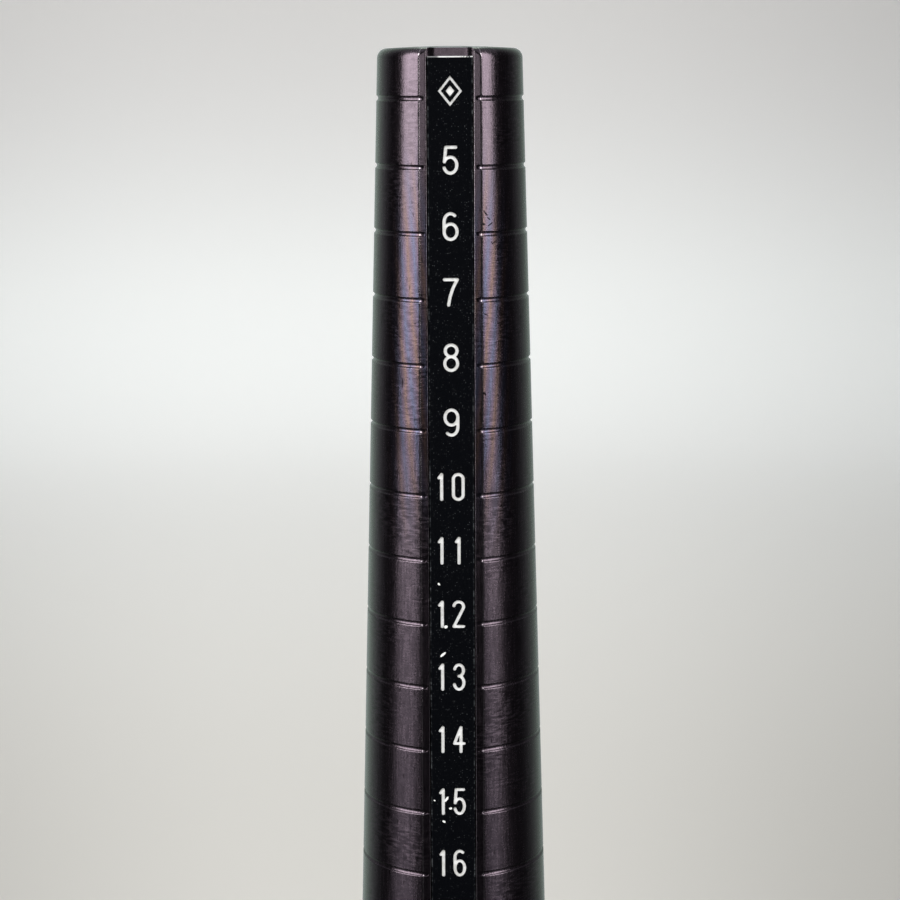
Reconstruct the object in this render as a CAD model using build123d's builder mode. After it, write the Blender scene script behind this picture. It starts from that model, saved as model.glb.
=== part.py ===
from build123d import *
import os
from math import acos, atan2, cos, degrees, hypot, radians, sin

# A ring mandrel that stands upright: +Z up, the index strip faces -Y, and the origin is the
# centre of the face that it stands on. Millimetres.

# Driving dimensions: the size scale
SIZE_FIRST = 5  # first numbered ring size
SIZE_LAST = 30  # last numbered ring size
SIZE_PITCH = 6.15  # along the axis, from one size groove to the next
BORE_OF_SIZE_ONE = 13.0  # inner diameter of a size 1 ring
BORE_STEP = 1.0 / 3.0  # added to that diameter by each size
LEAD_GROOVE_RISE = 6.32  # unnumbered groove above the first size
TIP_RISE = 10.95  # top end above the first size's groove
SHOULDER_DROP = 6.2  # barrel's lower end below the last size's groove

# Driving dimensions: barrel
TIP_ROUNDING = 0.9
TIP_CROWN = 0.2  # middle of the top end above its rim, before the rim is rounded
GROOVE_WIDTH = 0.5
GROOVE_DEPTH = 0.16
FLAT_DEPTH_TOP = 0.63  # front flat below the round surface, at the top end
FLAT_DEPTH_BOTTOM = 0.33  # the same at the barrel's lower end
SLOT_WIDTH = 4.4
SLOT_DEPTH = 0.92  # below the flat
SPIGOT_DIAMETER = 14.0
SPIGOT_REACH = 8.0  # into the grip, past the collar
SPIGOT_CHAMFER = 0.6

# Driving dimensions: index strip
STRIP_SIDE_GAP = 0.1
STRIP_TOP_GAP = 0.78  # from the barrel's top end
STRIP_BOTTOM_GAP = 0.8  # from the collar
ADHESIVE_THICKNESS = 0.1
CORE_THICKNESS = 0.67
FACE_THICKNESS = 0.1
FACE_END_SETBACK = 0.12  # the black layer stops short of the white one at the top end

# Driving dimensions: engraving
DIGIT_HEIGHT = 2.68
DIGIT_WIDTH = 1.5  # numbers of one digit
PAIRED_DIGIT_WIDTH = 1.22  # numbers of two digits
PAIRED_DIGIT_PITCH = 1.62
PAIRED_DIGIT_SHIFT = -0.2  # centre of the two digit cells from the strip's centre line
STROKE_WIDTH = 0.3
DIGIT_RISE_FIRST = 0.66  # centre of the first number above its groove
DIGIT_RISE_LAST = 1.56  # centre of the last number above its groove
MARK_RISE = 7.0  # plain lozenge above the first size's groove
MARK_HALF_WIDTH = 1.12
MARK_HALF_HEIGHT = 1.4
MARK_STROKE = 0.22
MARK_CORE_SCALE = 0.36  # solid centre of the lozenge, as a share of its outline

# Driving dimensions: collar, grip and foot
COLLAR_DIAMETER = 27.0
COLLAR_THICKNESS = 5.0
COLLAR_ROUNDING = 1.2
GRIP_DIAMETER = 25.0
GRIP_LENGTH = 90.0
GRIP_END_CHAMFER = 0.8
GRIP_WAIST_DEPTH = 1.1  # smooth middle stretch below the knurled bands
GRIP_BAND_LENGTH = 27.0
GRIP_END_MARGIN = 5.0  # plain stretch outside each knurled band
GRIP_RELIEF_WIDTH = 1.6  # turned relief on each side of a band
GRIP_RELIEF_DEPTH = 0.7
PLUG_FLANGE_DIAMETER = 29.0
PLUG_FLANGE_THICKNESS = 5.5
PLUG_SPIGOT_LENGTH = 9.0
PLUG_ROUNDING = 1.2
PAD_DIAMETER = 25.5
PAD_THICKNESS = 2.0
PAD_PROUD = 0.8  # how far the pad stands out of its recess

# Driving dimensions: fixings
SCREW_DIAMETER = 6.0
SCREW_REACH = 16.0  # thread held in the barrel
SCREW_HEAD_DIAMETER = 10.0
SCREW_HEAD_HEIGHT = 6.0
SCREW_SOCKET_ACROSS_FLATS = 5.0
SCREW_SOCKET_DEPTH = 3.0
SCREW_HEAD_SPACE = 3.0  # between the head and the foot plug
SCREW_CLEARANCE = 0.3  # radial, in the grip
SCREW_END_SPACE = 3.0  # hole past the end of the screw
WASHER_DIAMETER = 11.0
WASHER_THICKNESS = 1.2
COUNTERBORE_CLEARANCE = 0.5  # radial, around the washer
PIN_DIAMETER = 2.5
PIN_LENGTH = 12.0
PIN_END_SPACE = 0.5
FIT_CLEARANCE = 0.05  # radial, spigots in their bores

# Heights, from the standing face up
plug_base = PAD_PROUD
recess_top = PAD_THICKNESS
grip_base = plug_base + PLUG_FLANGE_THICKNESS
grip_top = grip_base + GRIP_LENGTH
shoulder_z = grip_top + COLLAR_THICKNESS
spigot_end_z = grip_top - SPIGOT_REACH
last_groove_z = shoulder_z + SHOULDER_DROP
first_groove_z = last_groove_z + (SIZE_LAST - SIZE_FIRST) * SIZE_PITCH
tip_z = first_groove_z + TIP_RISE


def size_z(size):
    """Height of the groove of a ring size."""
    return first_groove_z - (size - SIZE_FIRST) * SIZE_PITCH


def barrel_radius(z):
    """Radius of the taper at a height: each size groove has its ring's inner radius."""
    sizes_down = (first_groove_z - z) / SIZE_PITCH
    return (BORE_OF_SIZE_ONE + (SIZE_FIRST - 1 + sizes_down) * BORE_STEP) / 2


tip_radius = barrel_radius(tip_z)
shoulder_radius = barrel_radius(shoulder_z)
spigot_radius = SPIGOT_DIAMETER / 2
crown_z = tip_z + TIP_CROWN
crown_radius = (tip_radius**2 + TIP_CROWN**2) / (2 * TIP_CROWN)

# The front flat leans with the taper. Its plane has x to the right and y up the slope, with the
# origin on the centre line at the barrel's lower end.
flat_foot = Vector(0, -(shoulder_radius - FLAT_DEPTH_BOTTOM), shoulder_z)
flat_head = Vector(0, -(tip_radius - FLAT_DEPTH_TOP), tip_z)
flat_length = (flat_head - flat_foot).length
flat_slope = (flat_head - flat_foot).normalized()
flat_plane = Plane(origin=flat_foot, x_dir=(1, 0, 0), z_dir=Vector(1, 0, 0).cross(flat_slope))
slope_per_height = flat_length / (tip_z - shoulder_z)

# Levels of the strip's layers below the flat
slot_floor = flat_plane.offset(-SLOT_DEPTH)
core_floor = slot_floor.offset(ADHESIVE_THICKNESS)
face_floor = core_floor.offset(CORE_THICKNESS)
strip_width = SLOT_WIDTH - 2 * STRIP_SIDE_GAP
strip_start = STRIP_BOTTOM_GAP * slope_per_height
strip_end = flat_length - STRIP_TOP_GAP

# Screw: its head and washer hang below the grip's inner seat, clear of the foot plug
screw_tip_z = spigot_end_z + SCREW_REACH
screw_head_z = grip_base + PLUG_SPIGOT_LENGTH + SCREW_HEAD_SPACE
screw_seat_z = screw_head_z + SCREW_HEAD_HEIGHT
washer_top_z = screw_seat_z + WASHER_THICKNESS
counterbore_radius = WASHER_DIAMETER / 2 + COUNTERBORE_CLEARANCE
pin_orbit = (spigot_radius + shoulder_radius) / 2
pin_middle_z = grip_top + COLLAR_THICKNESS / 2
pin_hole_length = PIN_LENGTH + 2 * PIN_END_SPACE


def pin_hole():
    """Dowel hole through the joint, behind the axis, cut from the active part."""
    with Locations((0, pin_orbit, pin_middle_z)):
        Cylinder(PIN_DIAMETER / 2, pin_hole_length, mode=Mode.SUBTRACT)


# Barrel: turned taper with a spigot, then the grooves, the flat, the slot and the holes
with BuildPart() as barrel:
    with BuildSketch(Plane.XZ) as barrel_profile:
        with BuildLine():
            Polyline(
                (0, spigot_end_z),
                (spigot_radius, spigot_end_z),
                (spigot_radius, shoulder_z),
                (shoulder_radius, shoulder_z),
                (tip_radius, tip_z),
            )
            RadiusArc((tip_radius, tip_z), (0, crown_z), -crown_radius)
            Line((0, crown_z), (0, spigot_end_z))
        make_face()
        tip_corner = barrel_profile.vertices().group_by(Axis.Y)[-2].sort_by(Axis.X)[-1]
        fillet(tip_corner, radius=TIP_ROUNDING)
        spigot_corner = barrel_profile.vertices().group_by(Axis.Y)[0].sort_by(Axis.X)[-1]
        chamfer(spigot_corner, length=SPIGOT_CHAMFER)
    revolve(axis=Axis.Z)

    # A round cutter whose chord is the groove's width at the barrel's surface
    cutter_radius = ((GROOVE_WIDTH / 2) ** 2 + GROOVE_DEPTH**2) / (2 * GROOVE_DEPTH)
    groove_heights = [size_z(size) for size in range(SIZE_FIRST, SIZE_LAST + 1)]
    groove_heights.append(first_groove_z + LEAD_GROOVE_RISE)
    with BuildSketch(Plane.XZ):
        for z in groove_heights:
            with Locations((barrel_radius(z) - GROOVE_DEPTH + cutter_radius, z)):
                Circle(cutter_radius)
    revolve(axis=Axis.Z, mode=Mode.SUBTRACT)

    # The flat runs the whole length of the taper, above the shoulder only
    cut_reach = 2 * shoulder_radius
    with BuildSketch(flat_plane):
        with Locations((0, flat_length / 2)):
            Rectangle(cut_reach, flat_length + cut_reach)
    extrude(amount=cut_reach / 2, mode=Mode.SUBTRACT)
    with BuildSketch(slot_floor):
        with Locations((0, flat_length / 2)):
            Rectangle(SLOT_WIDTH, flat_length + cut_reach)
    extrude(amount=cut_reach / 2, mode=Mode.SUBTRACT)

    screw_hole_length = SCREW_REACH + SCREW_END_SPACE
    with Locations((0, 0, spigot_end_z + screw_hole_length / 2)):
        Cylinder(SCREW_DIAMETER / 2, screw_hole_length, mode=Mode.SUBTRACT)
    pin_hole()
barrel.part.label = "barrel"

# Strip layers, from the slot's floor outwards
with BuildPart() as strip_adhesive:
    with BuildSketch(slot_floor):
        with Locations((0, (strip_start + strip_end) / 2)):
            Rectangle(strip_width, strip_end - strip_start)
    extrude(amount=ADHESIVE_THICKNESS)
strip_adhesive.part.label = "strip_adhesive"

with BuildPart() as strip_core:
    with BuildSketch(core_floor):
        with Locations((0, (strip_start + strip_end) / 2)):
            Rectangle(strip_width, strip_end - strip_start)
    extrude(amount=CORE_THICKNESS)
strip_core.part.label = "strip_core"


def tangent_angle(half_width, half_height):
    """Angle at which the top bow of a 2 meets its straight leg, in degrees."""
    drop = 2 * half_height - half_width
    to_foot = degrees(atan2(-drop, -half_width))
    return to_foot + degrees(acos(half_width / hypot(half_width, drop)))


def digit_lines(digit, half_width, half_height):
    """Centre lines of one digit, added to the active line builder, about its own centre."""
    a = half_width
    b = half_height
    waist = 0.08 * b  # the two bows of a 3 or an 8 meet above the middle
    upper_rise = (b - waist) / 2
    lower_rise = (b + waist) / 2
    upper_half = 0.92 * a
    if digit == 0:
        CenterArc((0, b - a), a, 0, 180)
        Line((-a, b - a), (-a, a - b))
        CenterArc((0, a - b), a, 180, 180)
        Line((a, a - b), (a, b - a))
    elif digit == 1:
        stem = 0.12 * a
        Polyline((stem - 0.25, b - 0.33), (stem, b), (stem, -b))
    elif digit == 2:
        turn = tangent_angle(a, b)
        CenterArc((0, b - a), a, 170, turn - 170)
        leg_top = (a * cos(radians(turn)), b - a + a * sin(radians(turn)))
        Polyline(leg_top, (-a, -b), (a, -b))
    elif digit == 3:
        EllipticalCenterArc((0, b - upper_rise), upper_half, upper_rise, 165, arc_size=-255)
        EllipticalCenterArc((0, lower_rise - b), a, lower_rise, 90, arc_size=-255)
    elif digit == 4:
        stem = 0.35 * a
        bar = -0.32 * b
        Polyline((a, bar), (-a, bar), (stem, b), (stem, -b))
    elif digit == 5:
        bow = 0.62 * b
        bow_start = 155
        start = (a * cos(radians(bow_start)), bow - b + bow * sin(radians(bow_start)))
        Polyline((0.85 * a, b), (-0.68 * a, b), start)
        EllipticalCenterArc((0, bow - b), a, bow, bow_start, arc_size=-bow_start - 160)
    elif digit in (6, 9):
        turned = 1 if digit == 6 else -1
        tail = 180 if digit == 6 else 0
        bow = 0.6 * b
        hook = 1.25 * a
        bow_side = (-turned * a, turned * (bow - b))
        hook_side = (-turned * a, turned * (b - hook))
        EllipticalCenterArc((0, turned * (bow - b)), a, bow, 0, arc_size=360)
        Line(bow_side, hook_side)
        EllipticalCenterArc((0, turned * (b - hook)), a, hook, tail, arc_size=-130)
    elif digit == 7:
        Line((-a, b), (a, b))
        ThreePointArc((a, b), (0.08 * a, 0), (-0.36 * a, -b))
    elif digit == 8:
        EllipticalCenterArc((0, b - upper_rise), upper_half, upper_rise, 0, arc_size=360)
        EllipticalCenterArc((0, lower_rise - b), a, lower_rise, 0, arc_size=360)


def engraved_digit(digit, width):
    """Outline of one digit as an engraving cutter leaves it: one round-ended stroke."""
    with BuildSketch() as outline:
        with BuildLine() as centre_line:
            digit_lines(digit, (width - STROKE_WIDTH) / 2, (DIGIT_HEIGHT - STROKE_WIDTH) / 2)
        for line in centre_line.edges():
            trace(line, STROKE_WIDTH)
            if line @ 0 != line @ 1:
                with Locations(line @ 0, line @ 1):
                    Circle(STROKE_WIDTH / 2)
    return outline.sketch


def number_digits(size):
    """Digits of a size with the places of their centres across the strip."""
    if size < 10:
        return [(size, DIGIT_WIDTH, 0.0)]
    tens_x = PAIRED_DIGIT_SHIFT - PAIRED_DIGIT_PITCH / 2
    units_x = PAIRED_DIGIT_SHIFT + PAIRED_DIGIT_PITCH / 2
    return [
        (size // 10, PAIRED_DIGIT_WIDTH, tens_x),
        (size % 10, PAIRED_DIGIT_WIDTH, units_x),
    ]


def number_y(size):
    """Place of a number up the flat's slope."""
    share = (size - SIZE_FIRST) / (SIZE_LAST - SIZE_FIRST)
    rise = DIGIT_RISE_FIRST + share * (DIGIT_RISE_LAST - DIGIT_RISE_FIRST)
    return (size_z(size) + rise - shoulder_z) * slope_per_height


glyphs = {}
for digit in range(10):
    for width in (DIGIT_WIDTH, PAIRED_DIGIT_WIDTH):
        glyphs[digit, width] = engraved_digit(digit, width)

with BuildPart() as strip_face:
    face_end = strip_end - FACE_END_SETBACK
    with BuildSketch(face_floor):
        with Locations((0, (strip_start + face_end) / 2)):
            Rectangle(strip_width, face_end - strip_start)
    extrude(amount=FACE_THICKNESS)

    with BuildSketch(face_floor):
        for size in range(SIZE_FIRST, SIZE_LAST + 1):
            for digit, width, x in number_digits(size):
                with Locations((x, number_y(size))):
                    add(glyphs[digit, width])
        # Plain lozenge above the numbers: an outline around a solid centre
        mark_y = (first_groove_z + MARK_RISE - shoulder_z) * slope_per_height
        mark_points = [
            (MARK_HALF_WIDTH, 0),
            (0, MARK_HALF_HEIGHT),
            (-MARK_HALF_WIDTH, 0),
            (0, -MARK_HALF_HEIGHT),
        ]
        inner_share = 1 - MARK_STROKE * hypot(MARK_HALF_WIDTH, MARK_HALF_HEIGHT) / (
            MARK_HALF_WIDTH * MARK_HALF_HEIGHT
        )
        with Locations((0, mark_y)):
            Polygon(*mark_points)
            Polygon(*[(inner_share * x, inner_share * y) for x, y in mark_points], mode=Mode.SUBTRACT)
            Polygon(*[(MARK_CORE_SCALE * x, MARK_CORE_SCALE * y) for x, y in mark_points])
    extrude(amount=FACE_THICKNESS, mode=Mode.SUBTRACT)
strip_face.part.label = "strip_face"

# Collar: rounded ring between grip and barrel
with BuildPart() as collar:
    with BuildSketch(Plane.XY.offset(grip_top)):
        Circle(COLLAR_DIAMETER / 2)
        Circle(spigot_radius + FIT_CLEARANCE, mode=Mode.SUBTRACT)
    extrude(amount=COLLAR_THICKNESS)
    outer_rims = collar.edges().filter_by(GeomType.CIRCLE).sort_by(SortBy.RADIUS)[-2:]
    fillet(outer_rims, radius=COLLAR_ROUNDING)
    pin_hole()
collar.part.label = "collar"

# Grip: turned profile with two raised bands and a lower middle, bored for screw and spigots
with BuildPart() as grip:
    grip_radius = GRIP_DIAMETER / 2
    waist_radius = grip_radius - GRIP_WAIST_DEPTH
    relief_radius = grip_radius - GRIP_RELIEF_DEPTH
    lower_band_base = grip_base + GRIP_END_MARGIN
    lower_band_top = lower_band_base + GRIP_BAND_LENGTH
    upper_band_top = grip_top - GRIP_END_MARGIN
    upper_band_base = upper_band_top - GRIP_BAND_LENGTH
    with BuildSketch(Plane.XZ) as grip_profile:
        with BuildLine():
            Polyline(
                (0, grip_base),
                (grip_radius, grip_base),
                (grip_radius, lower_band_base - GRIP_RELIEF_WIDTH),
                (relief_radius, lower_band_base - GRIP_RELIEF_WIDTH),
                (relief_radius, lower_band_base),
                (grip_radius, lower_band_base),
                (grip_radius, lower_band_top),
                (waist_radius, lower_band_top + GRIP_WAIST_DEPTH),
                (waist_radius, upper_band_base - GRIP_WAIST_DEPTH),
                (grip_radius, upper_band_base),
                (grip_radius, upper_band_top),
                (relief_radius, upper_band_top),
                (relief_radius, upper_band_top + GRIP_RELIEF_WIDTH),
                (grip_radius, upper_band_top + GRIP_RELIEF_WIDTH),
                (grip_radius, grip_top),
                (0, grip_top),
                close=True,
            )
        make_face()
        end_corners = grip_profile.vertices().group_by(Axis.Y)
        chamfer([end_corners[0].sort_by(Axis.X)[-1], end_corners[-1].sort_by(Axis.X)[-1]],
                length=GRIP_END_CHAMFER)
    revolve(axis=Axis.Z)
    with BuildSketch(Plane.XY.offset(grip_base)):
        Circle(SCREW_DIAMETER / 2 + SCREW_CLEARANCE)
    extrude(amount=GRIP_LENGTH, mode=Mode.SUBTRACT)
    with BuildSketch(Plane.XY.offset(grip_base)):
        Circle(counterbore_radius)
    extrude(amount=washer_top_z - grip_base, mode=Mode.SUBTRACT)
    with BuildSketch(Plane.XY.offset(spigot_end_z)):
        Circle(spigot_radius + FIT_CLEARANCE)
    extrude(amount=SPIGOT_REACH, mode=Mode.SUBTRACT)
    pin_hole()
grip.part.label = "grip"

# Clamp screw with a hexagon socket; its thread is modelled as a plain cylinder
with BuildPart() as clamp_screw:
    with BuildSketch(Plane.XY.offset(screw_seat_z)):
        Circle(SCREW_DIAMETER / 2)
    extrude(amount=screw_tip_z - screw_seat_z)
    with BuildSketch(Plane.XY.offset(screw_head_z)):
        Circle(SCREW_HEAD_DIAMETER / 2)
    extrude(amount=SCREW_HEAD_HEIGHT)
    with BuildSketch(Plane.XY.offset(screw_head_z)):
        RegularPolygon(SCREW_SOCKET_ACROSS_FLATS / 2, 6, major_radius=False)
    extrude(amount=SCREW_SOCKET_DEPTH, mode=Mode.SUBTRACT)
clamp_screw.part.label = "clamp_screw"

with BuildPart() as screw_washer:
    with BuildSketch(Plane.XY.offset(screw_seat_z)):
        Circle(WASHER_DIAMETER / 2)
        Circle(SCREW_DIAMETER / 2 + SCREW_CLEARANCE, mode=Mode.SUBTRACT)
    extrude(amount=WASHER_THICKNESS)
screw_washer.part.label = "screw_washer"

with BuildPart() as index_pin:
    with Locations((0, pin_orbit, pin_middle_z)):
        Cylinder(PIN_DIAMETER / 2, PIN_LENGTH)
index_pin.part.label = "index_pin"

# Foot plug: flange under the grip, spigot in its counterbore, recess for the pad
with BuildPart() as foot_plug:
    with BuildSketch(Plane.XY.offset(plug_base)):
        Circle(PLUG_FLANGE_DIAMETER / 2)
    extrude(amount=PLUG_FLANGE_THICKNESS)
    fillet(foot_plug.edges().filter_by(GeomType.CIRCLE), radius=PLUG_ROUNDING)
    with BuildSketch(Plane.XY.offset(grip_base)):
        Circle(counterbore_radius - FIT_CLEARANCE)
    extrude(amount=PLUG_SPIGOT_LENGTH)
    with BuildSketch(Plane.XY.offset(plug_base)):
        Circle(PAD_DIAMETER / 2 + FIT_CLEARANCE)
    extrude(amount=recess_top - plug_base, mode=Mode.SUBTRACT)
foot_plug.part.label = "foot_plug"

with BuildPart() as foot_pad:
    with BuildSketch():
        Circle(PAD_DIAMETER / 2)
    extrude(amount=PAD_THICKNESS)
foot_pad.part.label = "foot_pad"

os.makedirs("parts", exist_ok=True)
export_step(barrel.part, "parts/barrel.step")
export_step(strip_adhesive.part, "parts/strip_adhesive.step")
export_step(strip_core.part, "parts/strip_core.step")
export_step(strip_face.part, "parts/strip_face.step")
export_step(collar.part, "parts/collar.step")
export_step(grip.part, "parts/grip.step")
export_step(clamp_screw.part, "parts/clamp_screw.step")
export_step(screw_washer.part, "parts/screw_washer.step")
export_step(index_pin.part, "parts/index_pin.step")
export_step(foot_plug.part, "parts/foot_plug.step")
export_step(foot_pad.part, "parts/foot_pad.step")
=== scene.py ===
"""A ring mandrel (ring size stick) standing upright on a pale studio floor.

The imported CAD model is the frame: every piece here sits where a CAD node is. The barrel and the
grip are replaced by finer meshes of the same size, and the other nodes keep their shape and get
their finish here. Lengths are in metres, and MM turns millimetres into them.
"""

from __future__ import annotations

import logging
import math
from collections.abc import Iterable, Sequence
from dataclasses import dataclass
from typing import Any

import bmesh
import bpy
from mathutils import Matrix, Vector


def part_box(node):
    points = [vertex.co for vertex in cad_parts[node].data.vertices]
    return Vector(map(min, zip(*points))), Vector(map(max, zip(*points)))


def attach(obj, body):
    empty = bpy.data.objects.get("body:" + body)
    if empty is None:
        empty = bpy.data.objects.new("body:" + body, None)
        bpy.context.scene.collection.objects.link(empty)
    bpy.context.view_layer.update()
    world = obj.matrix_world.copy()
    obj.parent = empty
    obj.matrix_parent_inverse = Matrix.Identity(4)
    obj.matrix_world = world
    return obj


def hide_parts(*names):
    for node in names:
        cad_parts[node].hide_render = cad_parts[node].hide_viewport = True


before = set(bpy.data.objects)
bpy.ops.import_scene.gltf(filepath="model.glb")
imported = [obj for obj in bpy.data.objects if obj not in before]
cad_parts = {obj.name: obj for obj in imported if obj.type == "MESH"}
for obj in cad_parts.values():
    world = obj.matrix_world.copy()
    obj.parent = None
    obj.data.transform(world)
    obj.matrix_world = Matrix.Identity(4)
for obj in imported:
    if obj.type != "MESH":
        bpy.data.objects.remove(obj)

LOG = logging.getLogger("ring_mandrel")
MM = 0.001
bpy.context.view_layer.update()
ROOT_BODY = "root"
SHARP_ANGLE = math.radians(50)
SOCKET_KINDS = {float: "NodeSocketFloat", int: "NodeSocketInt", bpy.types.Material: "NodeSocketMaterial"}

Point = tuple[float, float]
Socket = bpy.types.NodeSocket
Tree = bpy.types.NodeTree
Chip = tuple[float, float, float, float, float]
Triple = tuple[float, float, float]


# ---- Small helpers ----


def linear(hex_colour: str) -> tuple[float, float, float, float]:
    """Turn an sRGB hex colour into linear RGBA.

    Args:
        hex_colour: six hex digits, with or without a leading #.

    Returns:
        Linear red, green, blue and an alpha of one.
    """
    digits = hex_colour.lstrip("#")
    channels = [int(digits[i : i + 2], 16) / 255 for i in (0, 2, 4)]
    red, green, blue = (c / 12.92 if c <= 0.04045 else ((c + 0.055) / 1.055) ** 2.4 for c in channels)
    return (red, green, blue, 1.0)


@dataclass(frozen=True)
class Value:
    """A number in a node tree. Arithmetic with it adds Math nodes to the tree."""

    socket: Socket

    def __add__(self, other: Any) -> Value:
        """Sum."""
        return maths("ADD", self, other)

    def __sub__(self, other: Any) -> Value:
        """Difference."""
        return maths("SUBTRACT", self, other)

    def __rsub__(self, other: float) -> Value:
        """A plain number less this one."""
        return maths("SUBTRACT", other, self)

    def __mul__(self, other: Any) -> Value:
        """Product."""
        return maths("MULTIPLY", self, other)

    def __truediv__(self, other: Any) -> Value:
        """Quotient."""
        return maths("DIVIDE", self, other)

    def __rtruediv__(self, other: float) -> Value:
        """A plain number divided by this one."""
        return maths("DIVIDE", other, self)

    def __pow__(self, other: Any) -> Value:
        """Power."""
        return maths("POWER", self, other)

    def __abs__(self) -> Value:
        """Size without its sign."""
        return maths("ABSOLUTE", self)


def bare(value: Any) -> Any:
    """The socket of a Value, or anything else as it is."""
    return value.socket if isinstance(value, Value) else value


def tree_of(*values: Any) -> Tree:
    """The node tree of the first socket among some values."""
    return next(v.id_data for v in map(bare, values) if isinstance(v, Socket))


def feed(node: bpy.types.Node, values: dict[str | int, Any]) -> None:
    """Link sockets to a node's inputs, by name or number, and set the other values."""
    for key, value in values.items():
        socket = node.inputs[key]
        if isinstance(bare(value), Socket):
            node.id_data.links.new(bare(value), socket)
        else:
            socket.default_value = value


def add_node(
    tree: Tree,
    kind: str,
    settings: dict[str, Any] | None = None,
    inputs: dict[str | int, Any] | None = None,
) -> bpy.types.Node:
    """Add a node to a tree with its settings and links.

    Args:
        tree: the node tree.
        kind: the node's bl_idname.
        settings: attributes of the node, such as its operation.
        inputs: values by input name or number; a socket is linked, anything else is set.

    Returns:
        The new node.
    """
    node = tree.nodes.new(kind)
    for name, value in (settings or {}).items():
        setattr(node, name, value)
    feed(node, inputs or {})
    return node


def maths(operation: str, *values: Any) -> Value:
    """Add a Math node to the tree of the values and return its result."""
    tree = tree_of(*values)
    node = add_node(tree, "ShaderNodeMath", {"operation": operation}, dict(enumerate(values)))
    return Value(node.outputs[0])


def hypotenuse(first: Value, second: Value) -> Value:
    """Length of a flat vector."""
    return maths("SQRT", first * first + second * second)


def remap(value: Value, low: float, high: float, to_low: float = 0.0, to_high: float = 1.0) -> Value:
    """Map a value smoothly from one range to another, held at the ends."""
    node = add_node(
        tree_of(value),
        "ShaderNodeMapRange",
        {"interpolation_type": "SMOOTHSTEP"},
        {"Value": value, "From Min": low, "From Max": high, "To Min": to_low, "To Max": to_high},
    )
    return Value(node.outputs["Result"])


def blend_colours(share: Value, first: Any, second: Any) -> Socket:
    """Mix two colours, from the first at a share of 0 to the second at 1."""
    inputs = {0: share, 6: first, 7: second}
    return add_node(tree_of(share), "ShaderNodeMix", {"data_type": "RGBA"}, inputs).outputs[2]


def new_object(name: str, data: bpy.types.ID) -> bpy.types.Object:
    """Put a mesh, a lamp or a camera in the scene as an object at the origin."""
    made = bpy.data.objects.new(name, data)
    bpy.context.scene.collection.objects.link(made)
    return made


def mesh_from_faces(
    name: str, points: Sequence[Sequence[float]], faces: Sequence[Sequence[int]]
) -> bpy.types.Mesh:
    """Make a mesh from points and faces, shaded smooth all over.

    Args:
        name: the mesh's name.
        points: vertex places in metres.
        faces: vertex numbers of each face.

    Returns:
        The mesh, with its normals pointing outwards.
    """
    mesh = bpy.data.meshes.new(name)
    mesh.from_pydata([tuple(p) for p in points], [], [tuple(f) for f in faces])
    shell = bmesh.new()
    shell.from_mesh(mesh)
    bmesh.ops.recalc_face_normals(shell, faces=shell.faces)
    shell.to_mesh(mesh)
    shell.free()
    for face in mesh.polygons:
        face.use_smooth = True
    return mesh


def rounded_outline(corners: Sequence[Triple], steps: int = 5) -> list[Point]:
    """Round the corners of an outline.

    Args:
        corners: radius, height and rounding of each corner, in metres.
        steps: points on each rounding, less one.

    Returns:
        The outline's points.
    """
    outline: list[Point] = []
    for index, (radius, height, rounding) in enumerate(corners):
        corner = Vector((radius, height))
        if rounding <= 0 or index in (0, len(corners) - 1):
            outline.append((radius, height))
            continue
        before = Vector(corners[index - 1][:2]) - corner
        after = Vector(corners[index + 1][:2]) - corner
        half_angle = before.angle(after) / 2
        reach = min(rounding / math.tan(half_angle), before.length * 0.49, after.length * 0.49)
        start = corner + before.normalized() * reach
        end = corner + after.normalized() * reach
        size = reach * math.tan(half_angle)
        inwards = (before.normalized() + after.normalized()).normalized()
        centre = corner + inwards * (size / math.sin(half_angle))
        first = start - centre
        turn = first.angle_signed(end - centre)
        for step in range(steps + 1):
            spun = Matrix.Rotation(-turn * step / steps, 2) @ first
            outline.append(tuple(centre + spun))
    return outline


def stitched(rings: Sequence[Sequence[int]]) -> list[list[int]]:
    """Faces between rings of vertex numbers. A ring of one repeated number is a pole."""
    faces: list[list[int]] = []
    for lower, upper in zip(rings, rings[1:]):
        for step in range(len(lower)):
            after = (step + 1) % len(lower)
            face = [lower[step], lower[after], upper[after], upper[step]]
            faces.append(list(dict.fromkeys(face)))
    return faces


def revolved(name: str, outline: Sequence[Point], segments: int = 128) -> bpy.types.Mesh:
    """Turn an outline about the Z axis into a closed mesh.

    Args:
        name: the mesh's name.
        outline: radius and height of each point, from one pole to the other.
        segments: faces round the axis.

    Returns:
        The mesh.
    """
    points: list[Triple] = []
    rings: list[list[int]] = []
    for radius, height in outline:
        if radius < 1e-7:
            rings.append([len(points)] * segments)
            points.append((0.0, 0.0, height))
            continue
        rings.append(list(range(len(points), len(points) + segments)))
        for step in range(segments):
            angle = 2 * math.pi * step / segments
            points.append((radius * math.cos(angle), radius * math.sin(angle), height))
    return mesh_from_faces(name, points, stitched(rings))


def new_geometry_tree(name: str, inputs: dict[str, Any]) -> tuple[Tree, dict[str, Value]]:
    """Start a Geometry Nodes tree.

    Args:
        name: the tree's name.
        inputs: value of each named input, which tells its kind.

    Returns:
        The tree and its inputs by name.
    """
    tree = bpy.data.node_groups.new(name, "GeometryNodeTree")
    tree.interface.new_socket("Geometry", in_out="INPUT", socket_type="NodeSocketGeometry")
    for label, value in inputs.items():
        tree.interface.new_socket(label, in_out="INPUT", socket_type=SOCKET_KINDS[type(value)])
    tree.interface.new_socket("Geometry", in_out="OUTPUT", socket_type="NodeSocketGeometry")
    given = add_node(tree, "NodeGroupInput")
    return tree, {socket.name: Value(socket) for socket in given.outputs}


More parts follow.
